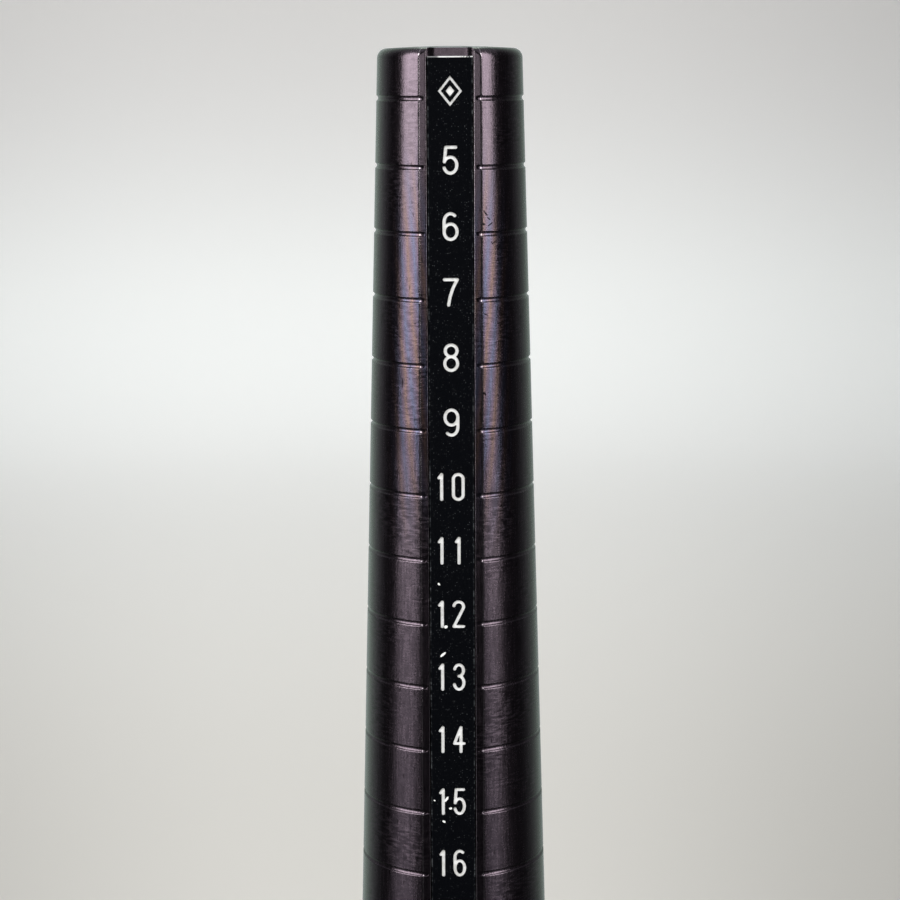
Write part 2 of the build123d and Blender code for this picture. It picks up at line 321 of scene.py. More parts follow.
def finish_geometry_tree(tree: Tree, geometry: Socket, material: Value) -> None:
    """End a Geometry Nodes tree with real geometry that has its material."""
    real = add_node(tree, "GeometryNodeRealizeInstances", inputs={0: geometry})
    inputs = {"Geometry": real.outputs[0], "Material": material}
    dressed = add_node(tree, "GeometryNodeSetMaterial", inputs=inputs)
    add_node(tree, "NodeGroupOutput", inputs={0: dressed.outputs[0]})


def run_geometry_tree(
    name: str, start: bpy.types.Mesh, tree: Tree, inputs: dict[str, Any]
) -> bpy.types.Object:
    """Run a Geometry Nodes tree on a mesh and keep the result as a plain mesh.

    Args:
        name: the name of the plain object.
        start: the mesh that the tree is given.
        tree: the Geometry Nodes tree.
        inputs: value of each named input.

    Returns:
        The plain object, at the origin and without modifiers.
    """
    piece = new_object(name + "_rough", start)
    modifier = piece.modifiers.new(tree.name, "NODES")
    modifier.node_group = tree
    for item in tree.interface.items_tree:
        if item.item_type == "SOCKET" and item.in_out == "INPUT" and item.name in inputs:
            modifier[item.identifier] = inputs[item.name]
    bpy.context.view_layer.update()
    graph = bpy.context.evaluated_depsgraph_get()
    mesh = bpy.data.meshes.new_from_object(piece.evaluated_get(graph))
    bpy.data.objects.remove(piece)
    mesh.name = name
    return new_object(name, mesh)


def place_piece(piece: bpy.types.Object, replaced: Iterable[str] = ()) -> None:
    """Give a new piece its body and hide the CAD nodes that it stands for."""
    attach(piece, ROOT_BODY)
    nodes = list(replaced)
    if nodes:
        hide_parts(*nodes)
    LOG.info("piece %s: %d faces", piece.name, len(piece.data.polygons))


def dress_node(node: str, material: bpy.types.Material) -> None:
    """Give a CAD node its finish."""
    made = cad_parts[node]
    for index in range(len(made.material_slots)):
        made.material_slots[index].material = material
    LOG.info("node %s: %s", node, material.name)


# ---- Finishes ----


@dataclass(frozen=True)
class Coordinates:
    """Object coordinates of a round piece, unrolled: all lengths in millimetres."""

    x: Value
    y: Value
    z: Value
    angle: Value
    girth: Value

    @staticmethod
    def of(tree: Tree, mean_radius: float) -> Coordinates:
        """Read a round piece's coordinates in a material.

        Args:
            tree: the material's tree.
            mean_radius: radius in millimetres at which the girth is true.

        Returns:
            The coordinates.
        """
        place = add_node(tree, "ShaderNodeTexCoord").outputs["Object"]
        inputs = {0: place, "Scale": 1 / MM}
        in_mm = add_node(tree, "ShaderNodeVectorMath", {"operation": "SCALE"}, inputs)
        split = add_node(tree, "ShaderNodeSeparateXYZ", inputs={0: in_mm.outputs[0]})
        x, y, z = map(Value, split.outputs)
        angle = maths("ARCTAN2", x, y * -1.0)
        return Coordinates(x, y, z, angle, angle * mean_radius)

    def vector(self, x: Any, y: Any, z: Any) -> Socket:
        """Join three values to a vector."""
        inputs = {0: x, 1: y, 2: z}
        return add_node(tree_of(self.x), "ShaderNodeCombineXYZ", inputs=inputs).outputs[0]

    def up(self) -> Socket:
        """Direction across a lathe's marks, in which highlights are drawn out."""
        return self.vector(0.0, 0.0, 1.0)


def grain(vector: Socket, scale: float, detail: float = 2.0, roughness: float = 0.5) -> Value:
    """Noise of a given scale, in features per millimetre when the vector is in millimetres."""
    inputs = {"Vector": vector, "Scale": scale, "Detail": detail, "Roughness": roughness}
    return Value(add_node(tree_of(vector), "ShaderNodeTexNoise", inputs=inputs).outputs["Fac"])


def scattered(vector: Socket, scale: float) -> tuple[Value, list[Value]]:
    """Scattered points.

    Args:
        vector: where to look.
        scale: how close together the points are.

    Returns:
        Distance to the nearest point, and three random values of that point.
    """
    tree = tree_of(vector)
    cells = add_node(tree, "ShaderNodeTexVoronoi", inputs={"Vector": vector, "Scale": scale})
    lot = add_node(tree, "ShaderNodeSeparateXYZ", inputs={0: cells.outputs["Color"]})
    return Value(cells.outputs["Distance"]), [Value(socket) for socket in lot.outputs]


def colour_ramp(value: Value, stops: dict[float, str], interpolation: str = "LINEAR") -> Socket:
    """Colour by value.

    Args:
        value: place on the ramp.
        stops: hex colour at each place, from the lowest place up.
        interpolation: how the ramp goes from stop to stop.

    Returns:
        The colour.
    """
    node = add_node(tree_of(value), "ShaderNodeValToRGB", inputs={0: value})
    ramp = node.color_ramp
    ramp.interpolation = interpolation
    places = list(stops)
    ramp.elements[0].position = places[0]
    ramp.elements[1].position = places[-1]
    for place in places[1:-1]:
        ramp.elements.new(place)
    for stop, colour in zip(ramp.elements, stops.values()):
        stop.color = linear(colour)
    return node.outputs["Color"]


def new_shader(name: str, **values: Any) -> tuple[bpy.types.Material, Tree, bpy.types.Node]:
    """Start a material.

    Args:
        name: the material's name.
        values: values of the shader's inputs, with _ for a space.

    Returns:
        The material, its tree and its Principled shader.
    """
    material = bpy.data.materials.new(name)
    material.use_nodes = True
    tree = material.node_tree
    shader = tree.nodes["Principled BSDF"]
    feed(shader, {key.replace("_", " "): value for key, value in values.items()})
    return material, tree, shader


def set_bump(shader: bpy.types.Node, height: Value, depth_mm: float) -> None:
    """Give a shader a bump of a real depth in millimetres."""
    inputs = {"Height": height, "Distance": depth_mm * MM, "Strength": 1.0}
    bump = add_node(shader.id_data, "ShaderNodeBump", inputs=inputs)
    feed(shader, {"Normal": bump.outputs["Normal"]})


@dataclass(frozen=True)
class DyedAnodised:
    """Aluminium, lathe-turned, polished and anodised in a black dye that has aged to violet.

    The clear oxide over the dye gives dark mirror reflections that are sharp round the bar and
    drawn out along it by the turning marks. Worn oxide shows faint interference colours: violet,
    blue and bronze. Edges are rubbed brighter.
    """

    name: str = "dyed anodised aluminium"
    base: str = "#5a5057"
    violet: str = "#584c5a"
    blue: str = "#4c5064"
    bronze: str = "#66524b"
    worn: str = "#a9a0a4"
    rim: str = "#eeffec"  # seen at a grazing angle the clear oxide evens out the violet
    roughness: float = 0.24
    anisotropy: float = 0.75
    tint_low: float = 224.0  # heights in mm between which the interference colours show
    tint_high: float = 265.0
    tint_fade: float = 14.0
    tint_turns: float = 5.2  # colour steps per radian round the bar
    tint_climb: float = 0.0755  # colour steps per millimetre up the bar
    tint_start: float = 100.55  # colour step at the bottom, front
    flat_edge: float = 2.9  # half width of the milled flats in mm, which are smoother
    nicks: tuple[Chip, ...] = ()  # where the oxide has flaked beside the flat, in mm
    turning_pitch: float = 0.13
    bump_depth: float = 0.015

    def make(self) -> bpy.types.Material:
        """Build the material."""
        material, tree, shader = new_shader(self.name, Metallic=1.0, Specular_Tint=linear(self.rim))
        at = Coordinates.of(tree, 8.0)
        feed(shader, {"Tangent": at.up()})

        # Film colours drift slowly round and along the bar
        drift = at.vector(at.girth * 0.55, 0.0, at.z * 0.16)
        cloud = grain(drift, 1.0, 3.0, 0.6)
        across = abs(at.angle) * self.tint_turns
        swing = across - at.z * self.tint_climb + self.tint_start
        phase = maths("FRACT", swing + cloud * 0.6)
        stops = {0.0: self.violet, 0.28: self.blue, 0.5: self.violet, 0.74: self.bronze, 1.0: self.violet}
        film = colour_ramp(phase, stops)
        rise = remap(at.z, self.tint_low, self.tint_low + self.tint_fade)
        fall = remap(at.z, self.tint_high, self.tint_high - self.tint_fade)
        front = remap(abs(at.angle), 0.95, 0.6)
        shown = rise * fall * (front * 0.85)
        tinted = blend_colours(shown, linear(self.base), film)

        # Fine streaks: turning marks round the bar and rubbing marks along it
        turning = grain(at.vector(at.girth * 0.12, 0.0, at.z), 1.0 / self.turning_pitch, 3.0, 0.7)
        rubbing = grain(at.vector(at.girth * 5.0, 0.0, at.z * 0.35), 1.0, 4.0, 0.7)
        speck = grain(at.vector(at.girth, 0.0, at.z), 5.5, 2.0, 0.6)
        mottle = rubbing * 0.6 + speck * 0.4
        coarse = grain(at.vector(at.girth * 0.25, 0.0, at.z), 4.2, 1.0)
        where = grain(at.vector(at.girth, 0.0, at.z), 0.16, 2.0)
        rings = (coarse - 0.5) * remap(where, 0.45, 0.62, 0.1, 1.0)
        mottle = mottle + rings * 0.9
        shade = remap(mottle, 0.3, 0.72, 0.66, 1.24)
        marks = maths("MAXIMUM", self.scratches(at), self.pits(at))
        ragged = grain(at.vector(at.x, 0.0, at.z), 6.0, 2.0, 0.6)
        for nick in self.nicks:
            here = chip_mask(at, nick, ragged) * maths("LESS_THAN", at.y, 0.0)
            marks = maths("MAXIMUM", marks, here * 1.3)
        whole = 1.0 - marks * 0.68
        inputs = {0: tinted, "Scale": shade * whole}
        shaded = add_node(tree, "ShaderNodeVectorMath", {"operation": "SCALE"}, inputs).outputs[0]

        # Rubbed edges: brighter where the barrel's own wear attribute is high
        wear = Value(add_node(tree, "ShaderNodeAttribute", {"attribute_name": "wear"}).outputs["Fac"])
        chipped = remap(wear * (speck + 0.45), 0.6, 0.9, 0.0, 0.7)
        colour = blend_colours(chipped, shaded, linear(self.worn))
        feed(shader, {"Base Color": colour})

        rough = remap(mottle, 0.25, 0.8, self.roughness - 0.05, self.roughness + 0.08)
        near = remap(abs(at.x), self.flat_edge + 0.1, self.flat_edge)
        milled = near * maths("LESS_THAN", at.y, 0.0)
        rough = rough - milled * 0.06
        feed(shader, {"Roughness": rough})
        drawn_out = (1.0 - milled * 0.3) * self.anisotropy
        feed(shader, {"Anisotropic": drawn_out})
        height = turning * 0.5 + (rubbing * 0.35 + speck * 0.5)
        set_bump(shader, height, self.bump_depth)
        return material

    def scratches(self, at: Coordinates) -> Value:
        """Short scratches along the bar, left by rings pushed over it.

        Args:
            at: the bar's coordinates.

        Returns:
            One in a scratch and zero outside.
        """
        bend = grain(at.vector(at.girth, 0.0, at.z), 0.6, 1.0)
        sideways = at.girth * 2.4 + bend * 2.0
        stretched = at.vector(sideways, 0.0, at.z * 0.6)
        distance, lot = scattered(stretched, 1.0)
        return remap(distance, 0.2, 0.08) * remap(lot[1], 0.55, 0.8)

    def pits(self, at: Coordinates) -> Value:
        """Small ragged pits where the oxide has chipped, in loose groups.

        Args:
            at: the bar's coordinates.

        Returns:
            One in a pit and zero outside.
        """
        place = at.vector(at.girth, 0.0, at.z)
        ragged = grain(place, 7.0, 2.0, 0.7)
        distance, lot = scattered(place, 1.9)
        edge = distance + ragged * 0.35
        group = remap(grain(place, 0.3, 2.0), 0.42, 0.6, 0.1, 1.0)
        chosen = remap(lot[2], 0.45, 0.75) * group
        return remap(edge, 0.36, 0.24) * chosen


@dataclass(frozen=True)
class BlackLaminate:
    """Matte black acrylic cap of an engraving laminate, with dust and a few chips to the white core.

    The moulded surface is fine and dull, so it stays black under the lights, and pale dust and
    rubbed specks show on it.
    """

    name: str = "black engraving laminate"
    base: str = "#030407"
    dust: str = "#6a6d70"
    chip: str = "#d9dad8"
    roughness: float = 0.6
    half_width: float = 2.1  # in mm, where dust catches on the sawn edges
    chips: tuple[Chip, ...] = ()

    def make(self) -> bpy.types.Material:
        """Build the material."""
        values = {"Roughness": self.roughness, "IOR": 1.45, "Specular_IOR_Level": 0.05}
        material, tree, shader = new_shader(self.name, **values)
        at = Coordinates.of(tree, 1.0)
        flat = at.vector(at.x, 0.0, at.z)
        distance, lot = scattered(flat, 6.6)
        dust = remap(distance, 0.27, 0.12) * remap(lot[0], 0.6, 1.05)
        haze = grain(flat, 9.0, 3.0, 0.7)
        dusty = maths("MAXIMUM", dust, remap(haze, 0.55, 0.78, 0.0, 0.08))
        colour = blend_colours(dusty * 0.5, linear(self.base), linear(self.dust))
        side = remap(abs(at.x), self.half_width - 0.14, self.half_width - 0.04)
        broken = grain(at.vector(at.x * 0.3, 0.0, at.z), 2.6, 2.0, 0.7)
        caught = side * remap(broken, 0.46, 0.7, 0.0, 0.35)
        colour = blend_colours(caught, colour, linear(self.dust))
        ragged = grain(flat, 9.0, 2.0, 0.6)
        for chip in self.chips:
            colour = blend_colours(chip_mask(at, chip, ragged), colour, linear(self.chip))
        feed(shader, {"Base Color": colour})
        set_bump(shader, haze, 0.01)
        return material


@dataclass(frozen=True)
class WhiteCore:
    """White acrylic core of the laminate: bright and even, greyed where dirt sits on its cut end."""

    top: float  # height in mm of the strip's top end
    name: str = "white laminate core"
    base: str = "#dfdfdf"
    soiled: str = "#cdccc9"
    dirt: str = "#33343a"
    roughness: float = 0.45

    def make(self) -> bpy.types.Material:
        """Build the material."""
        material, tree, shader = new_shader(self.name, Roughness=self.roughness, IOR=1.49)
        at = Coordinates.of(tree, 1.0)
        place = at.vector(at.x, at.y, at.z)
        fine = grain(place, 4.0, 3.0, 0.6)
        patch = grain(place, 1.6, 3.0, 0.6)
        white = blend_colours(remap(patch, 0.4, 0.7), linear(self.base), linear(self.soiled))
        near_end = remap(at.z, self.top - 0.3, self.top - 0.2)
        left_side = remap(at.x, -0.95, -1.25, 0.0, 0.8)
        right_side = remap(at.x, 0.8, 1.4)
        ragged = right_side * remap(fine, 0.45, 0.55)
        dirty = near_end * maths("MAXIMUM", left_side, ragged)
        feed(shader, {"Base Color": blend_colours(dirty, white, linear(self.dirt))})
        set_bump(shader, fine, 0.01)
        return material


def chip_mask(at: Coordinates, chip: Chip, ragged: Value) -> Value:
    """Mask of one chip or nick: an uneven dash.

    Args:
        at: the piece's coordinates in millimetres.
        chip: x, z, half length, half width and tilt in degrees.
        ragged: noise that makes its edge uneven.

    Returns:
        One inside the chip and zero outside.
    """
    centre_x, centre_z, half_length, half_width, tilt = chip
    cosine = math.cos(math.radians(tilt))
    sine = math.sin(math.radians(tilt))
    along_x = at.x - centre_x
    along_z = at.z - centre_z
    length = along_x * cosine + along_z * sine
    width = along_z * cosine - along_x * sine
    reach = maths("SQRT", (length / half_length) ** 2.0 + (width / half_width) ** 2.0)
    edge = reach + (ragged - 0.5) * 1.1
    return remap(edge, 1.12, 0.88)


@dataclass(frozen=True)
class MouldedPlastic:
    """Plain plastic or rubber with a fine grain, slightly mottled by handling."""

    name: str
    base: str
    soiled: str
    roughness: float
    grain_size: float = 0.3
    bump_depth: float = 0.01
    ior: float = 1.49

    def make(self) -> bpy.types.Material:
        """Build the material."""
        material, tree, shader = new_shader(self.name, Roughness=self.roughness, IOR=self.ior)
        at = Coordinates.of(tree, 1.0)
        place = at.vector(at.x, at.y, at.z)
        fine = grain(place, 1.0 / self.grain_size, 3.0, 0.6)
        patch = grain(place, 0.7, 3.0, 0.6)
        colour = blend_colours(remap(patch, 0.45, 0.75, 0.0, 0.5), linear(self.base), linear(self.soiled))
        feed(shader, {"Base Color": colour})
        set_bump(shader, fine, self.bump_depth)
        return material


@dataclass(frozen=True)
class TurnedMetal:
    """Bare or plated metal with the fine rings that a lathe leaves, a little dulled by hands."""

    name: str
    base: str
    dulled: str
    roughness: float
    anisotropy: float = 0.5
    ring_pitch: float = 0.2
    bump_depth: float = 0.004

    def make(self) -> bpy.types.Material:
        """Build the material."""
        material, tree, shader = new_shader(self.name, Metallic=1.0, Anisotropic=self.anisotropy)
        at = Coordinates.of(tree, 12.0)
        feed(shader, {"Tangent": at.up()})
        rings = grain(at.vector(at.girth * 0.06, 0.0, at.z), 1.0 / self.ring_pitch, 3.0, 0.7)
        place = at.vector(at.x, at.y, at.z)
        patch = grain(place, 0.35, 4.0, 0.65)
        colour = blend_colours(remap(patch, 0.35, 0.75), linear(self.base), linear(self.dulled))
        feed(shader, {"Base Color": colour})
        rough = remap(patch, 0.3, 0.75, self.roughness, self.roughness + 0.12)
        feed(shader, {"Roughness": rough})
        set_bump(shader, rings, self.bump_depth)
        return material


# ---- The barrel ----


@dataclass
class Barrel:
    """Tapered bar with size grooves, a front flat and the strip's slot."""

    first_size: int = 5
    last_size: int = 30
    size_pitch: float = 6.15 * MM
    tip_rise: float = 10.95 * MM
    lead_groove_rise: float = 6.32 * MM
    tip_rounding: float = 0.9 * MM
    tip_crown: float = 0.2 * MM
    groove_width: float = 0.5 * MM
    groove_depth: float = 0.16 * MM
    groove_softness: float = 0.02 * MM
    bore_of_size_one: float = 13.0 * MM
    bore_step: float = MM / 3
    flat_depth_top: float = 0.63 * MM
    flat_depth_bottom: float = 0.33 * MM
    slot_width: float = 4.4 * MM
    slot_depth: float = 0.92 * MM
    spigot_radius: float = 7.0 * MM
    edge_wear: float = 0.09 * MM
    lip_wear: float = 0.07 * MM
    arc_steps: int = 60  # faces on each side, from the flat's edge to the back
    finish: DyedAnodised = DyedAnodised(
        nicks=(
            (3.26, 257.0, 0.33, 0.07, -50.0),
            (3.56, 256.5, 0.18, 0.06, -40.0),
            (3.67, 255.95, 0.34, 0.06, 38.0),
            (3.05, 256.0, 0.16, 0.11, 0.0),
            (4.08, 254.3, 0.2, 0.05, 45.0),
            (3.85, 254.25, 0.14, 0.05, -60.0),
            (3.26, 247.6, 0.26, 0.06, -30.0),
            (3.08, 240.2, 0.27, 0.09, -45.0),
            (-2.8, 249.45, 0.2, 0.12, 0.0),
            (-2.88, 247.2, 0.28, 0.09, 80.0),
            (-3.35, 246.8, 0.11, 0.06, 0.0),
            (-4.6, 241.1, 0.55, 0.06, 85.0),
        )
    )

    def __post_init__(self) -> None:
        """Work out heights from the CAD node's own box and the collar's."""
        low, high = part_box("barrel")
        self.spigot_end = low.z
        self.tip = high.z - self.tip_crown
        self.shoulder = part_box("collar")[1].z
        self.first_groove = self.tip - self.tip_rise

    def radius(self, height: float) -> float:
        """Radius of the taper at a height."""
        sizes_down = (self.first_groove - height) / self.size_pitch
        return (self.bore_of_size_one + (self.first_size - 1 + sizes_down) * self.bore_step) / 2

    def turned_radius(self, height: float) -> float:
        """Radius at a height with the rounding of the top end."""
        rounding_base = self.tip - self.tip_rounding
        if height <= rounding_base:
            return self.radius(height)
        rise = min(height - rounding_base, self.tip_rounding)
        inset = self.tip_rounding - math.sqrt(self.tip_rounding**2 - rise**2)
        return self.radius(height) - inset

    def flat_distance(self, height: float) -> float:
        """Distance of the front flat from the axis at a height."""
        share = (height - self.shoulder) / (self.tip - self.shoulder)
        at_foot = self.radius(self.shoulder) - self.flat_depth_bottom
        at_head = self.radius(self.tip) - self.flat_depth_top
        return at_foot + share * (at_head - at_foot)

    def half_section(self, height: float) -> list[Triple]:
        """Right half of the cross-section at a height, from the slot's middle to the back.

        Args:
            height: height in metres.

        Returns:
            x, y and wear of each point; the front is at negative y.
        """
        radius = self.radius(height)
        flat = self.flat_distance(height)
        floor = flat - self.slot_depth
        half_slot = self.slot_width / 2
        lip = self.lip_wear
        half_flat = math.sqrt(radius**2 - flat**2)
        edge_angle = math.atan2(half_flat, flat)
        worn_angle = edge_angle + self.edge_wear / radius
        worn = (radius * math.sin(worn_angle), radius * math.cos(worn_angle))
        flat_end = (half_flat - self.edge_wear, flat)
        points = [
            (0.0, floor, 0.0),
            (half_slot * 0.6, floor, 0.0),
            (half_slot - lip, floor, 0.0),
            (half_slot, floor + lip, 0.0),
            (half_slot, flat - lip, 0.4),
            (half_slot + 0.3 * lip, flat - 0.3 * lip, 1.0),
            (half_slot + lip, flat, 0.4),
            (half_slot + 2 * lip, flat, 0.0),
            ((half_slot + flat_end[0]) / 2, flat, 0.0),
            (flat_end[0] - self.edge_wear, flat, 0.0),
            (*flat_end, 0.4),
        ]
        corner = (half_flat, flat)
        for share in (0.3, 0.5, 0.7):
            ahead, behind = share**2, (1 - share) ** 2
            middle = 1 - ahead - behind
            mixed = [behind * a + middle * b + ahead * c for a, b, c in zip(flat_end, corner, worn)]
            points.append((mixed[0], mixed[1], 1.0))
        points.append((*worn, 0.5))
        first = worn_angle + self.edge_wear / radius
        for step in range(self.arc_steps + 1):
            angle = first + (math.pi - first) * step / self.arc_steps
            points.append((radius * math.sin(angle), radius * math.cos(angle), 0.0))
        turned = self.turned_radius(height)
        held = []
        for x, y, wear in points:
            reach = math.hypot(x, y)
            share = min(1.0, turned / reach)
            held.append((x * share, -y * share, wear))
        return held

    def groove_heights(self) -> list[float]:
        """Heights of all the grooves, from the top down."""
        count = self.last_size - self.first_size + 1
        numbered = [self.first_groove - n * self.size_pitch for n in range(count)]
        return [self.first_groove + self.lead_groove_rise, *numbered]

    def ring_heights(self) -> list[float]:
        """Heights of the mesh's rings: close together at grooves and at the rounded top."""
        heights = {self.shoulder + 0.2 * MM, self.shoulder}
        near = [0.0, 0.05, 0.1, 0.14, 0.17, 0.19, 0.21, 0.23, 0.26, 0.32]
        for middle in self.groove_heights():
            for offset in near:
                heights.update((middle + offset * MM, middle - offset * MM))
            heights.update((middle - self.size_pitch / 2, middle - 0.9 * MM, middle + 0.9 * MM))
        rounding_base = self.tip - self.tip_rounding
        for step in range(13):
            heights.add(rounding_base + self.tip_rounding * math.sin(math.pi / 2 * step / 12))
        inside = [h for h in heights if self.shoulder <= h <= self.tip]
        return sorted(inside)

    def body_mesh(self) -> bpy.types.Mesh:
        """Mesh of the bar before its grooves are turned, with its wear attribute."""
        points: list[Triple] = []
        wear: list[float] = []
        rings: list[list[int]] = []

        def add_ring(section: list[Triple], height: float) -> None:
            """Add one ring of points at a height."""
            rings.append(list(range(len(points), len(points) + len(section))))
            for x, y, amount in section:
                points.append((x, y, height))
                wear.append(amount)

        def both_sides(half: list[Triple]) -> list[Triple]:
            """Whole cross-section from its right half."""
            return half + [(-x, y, amount) for x, y, amount in reversed(half[1:-1])]

        ring_heights = self.ring_heights()
        outline = both_sides(self.half_section(ring_heights[0]))
        for spigot_height in (self.spigot_end, self.shoulder):
            spigot = []
            for x, y, _ in outline:
                share = self.spigot_radius / math.hypot(x, y)
                spigot.append((x * share, y * share, 0.0))
            add_ring(spigot, spigot_height)
        for height in ring_heights:
            add_ring(both_sides(self.half_section(height)), height)
        rim = both_sides(self.half_section(self.tip))
        for share in (0.85, 0.6, 0.3):
            drawn_in = [(x * share, y * share, 0.0) for x, y, _ in rim]
            add_ring(drawn_in, self.tip + self.tip_crown * (1 - share**2))

        poles = []
        for height in (self.spigot_end, self.tip + self.tip_crown):
            poles.append([len(points)] * len(outline))
            points.append((0.0, 0.0, height))
            wear.append(0.0)
        faces = stitched([poles[0], *rings, poles[1]])
        mesh = mesh_from_faces("barrel_body", points, faces)
        attribute = mesh.attributes.new("wear", "FLOAT", "POINT")
        attribute.data.foreach_set("value", wear)
        return mesh

    def groove_tree(self, inputs: dict[str, Any]) -> Tree:
        """Geometry Nodes tree that turns the size grooves into the bar.

        Every point is held inside the path of a round cutter that stops at each size, so the
        grooves also notch the edges of the flat, as on a lathe.

        Args:
            inputs: value of each named input.

        Returns:
            The tree.
        """
        tree, source = new_geometry_tree("turned_size_grooves", inputs)
        place = add_node(tree, "GeometryNodeInputPosition").outputs[0]
        split = add_node(tree, "ShaderNodeSeparateXYZ", inputs={0: place})
        x, y, z = map(Value, split.outputs)
        below = source["First Groove"] - z
        number = maths("ROUND", below / source["Pitch"])
        number = maths("MAXIMUM", number, 0.0)
        number = maths("MINIMUM", number, source["Count"] - 1.0)
        numbered = abs(below - number * source["Pitch"])
        lead = abs(below + source["Lead Groove Rise"])
        away = maths("MINIMUM", numbered, lead)

        half = source["Width"] * 0.5
        half_squared = half * half
        depth_squared = source["Depth"] * source["Depth"]
        cutter = (half_squared + depth_squared) / (source["Depth"] * 2.0)
        inside = cutter * cutter - away * away
        chord = maths("SQRT", maths("MAXIMUM", inside, 0.0))
        cut = chord - (cutter - source["Depth"])
        cut = maths("SMOOTH_MAX", cut, 0.0, source["Edge Softness"])
        near = maths("LESS_THAN", away, source["Width"])
        cut = cut * near

        radius = source["First Radius"] + below * source["Taper"]
        limit = radius - cut
        reach = hypotenuse(x, y)
        share = limit / maths("MAXIMUM", reach, 0.1 * MM)
        share = maths("MINIMUM", share, 1.0)
        moved = add_node(tree, "ShaderNodeCombineXYZ", inputs={0: x * share, 1: y * share, 2: z})
        inputs = {"Geometry": source["Geometry"], "Position": moved.outputs[0]}
        placed = add_node(tree, "GeometryNodeSetPosition", inputs=inputs)

        # Wear on the groove's two shoulders, kept beside the wear of the flat's edges
        shoulder = remap(abs(away - half), 0.05 * MM, 0.0, 0.0, 0.8)
        old = add_node(tree, "GeometryNodeInputNamedAttribute", {"data_type": "FLOAT"}, {"Name": "wear"})
        wear = maths("MAXIMUM", Value(old.outputs[0]), shoulder)
        worn = add_node(
            tree,
            "GeometryNodeStoreNamedAttribute",
            {"data_type": "FLOAT", "domain": "POINT"},
            {"Geometry": placed.outputs[0], "Name": "wear", "Value": wear},
        )
        finish_geometry_tree(tree, worn.outputs[0], source["Material"])
        return tree

    def build(self) -> bpy.types.Object:
        """Build the barrel and put it in place of its CAD node."""
        inputs = {
            "First Groove": self.first_groove,
            "Pitch": self.size_pitch,
            "Count": self.last_size - self.first_size + 1,
            "Lead Groove Rise": self.lead_groove_rise,
            "First Radius": self.radius(self.first_groove),
            "Taper": self.bore_step / 2 / self.size_pitch,
            "Width": self.groove_width,
            "Depth": self.groove_depth,
            "Edge Softness": self.groove_softness,
            "Material": self.finish.make(),
        }
        barrel = run_geometry_tree("barrel_turned", self.body_mesh(), self.groove_tree(inputs), inputs)
        barrel.data.set_sharp_from_angle(angle=SHARP_ANGLE)
        place_piece(barrel, ["barrel"])
        return barrel


# ---- The index strip ----


@dataclass
class IndexStrip:
    """Engraved laminate strip: black cap, white core and the film under it.

    Chips are given in millimetres: place across, place below the strip's top end, half length,
    half width, and tilt in degrees.
    """

    chips: tuple[Chip, ...] = (
        (-1.26, 49.27, 0.13, 0.09, -50.0),
        (-0.62, 53.4, 0.17, 0.14, 20.0),
        (-0.91, 56.1, 0.34, 0.11, 38.0),
        (-0.65, 70.3, 0.3, 0.11, 55.0),
        (-0.25, 71.2, 0.14, 0.11, 10.0),
        (-0.89, 72.5, 0.16, 0.1, -30.0),
        (-1.79, 70.4, 0.08, 0.07, 0.0),
    )

    def build(self) -> None:
        """Dress the strip's CAD nodes."""
        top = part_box("strip_face")[1].z / MM
        placed = tuple((x, top - below, *rest) for x, below, *rest in self.chips)
        dress_node("strip_face", BlackLaminate(chips=placed).make())
        core_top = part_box("strip_core")[1].z / MM
        dress_node("strip_core", WhiteCore(core_top).make())
        film = MouldedPlastic("acrylic adhesive film", "#cbc7b8", "#b8b3a2", 0.35)
        dress_node("strip_adhesive", film.make())


# ---- Grip, collar and foot ----


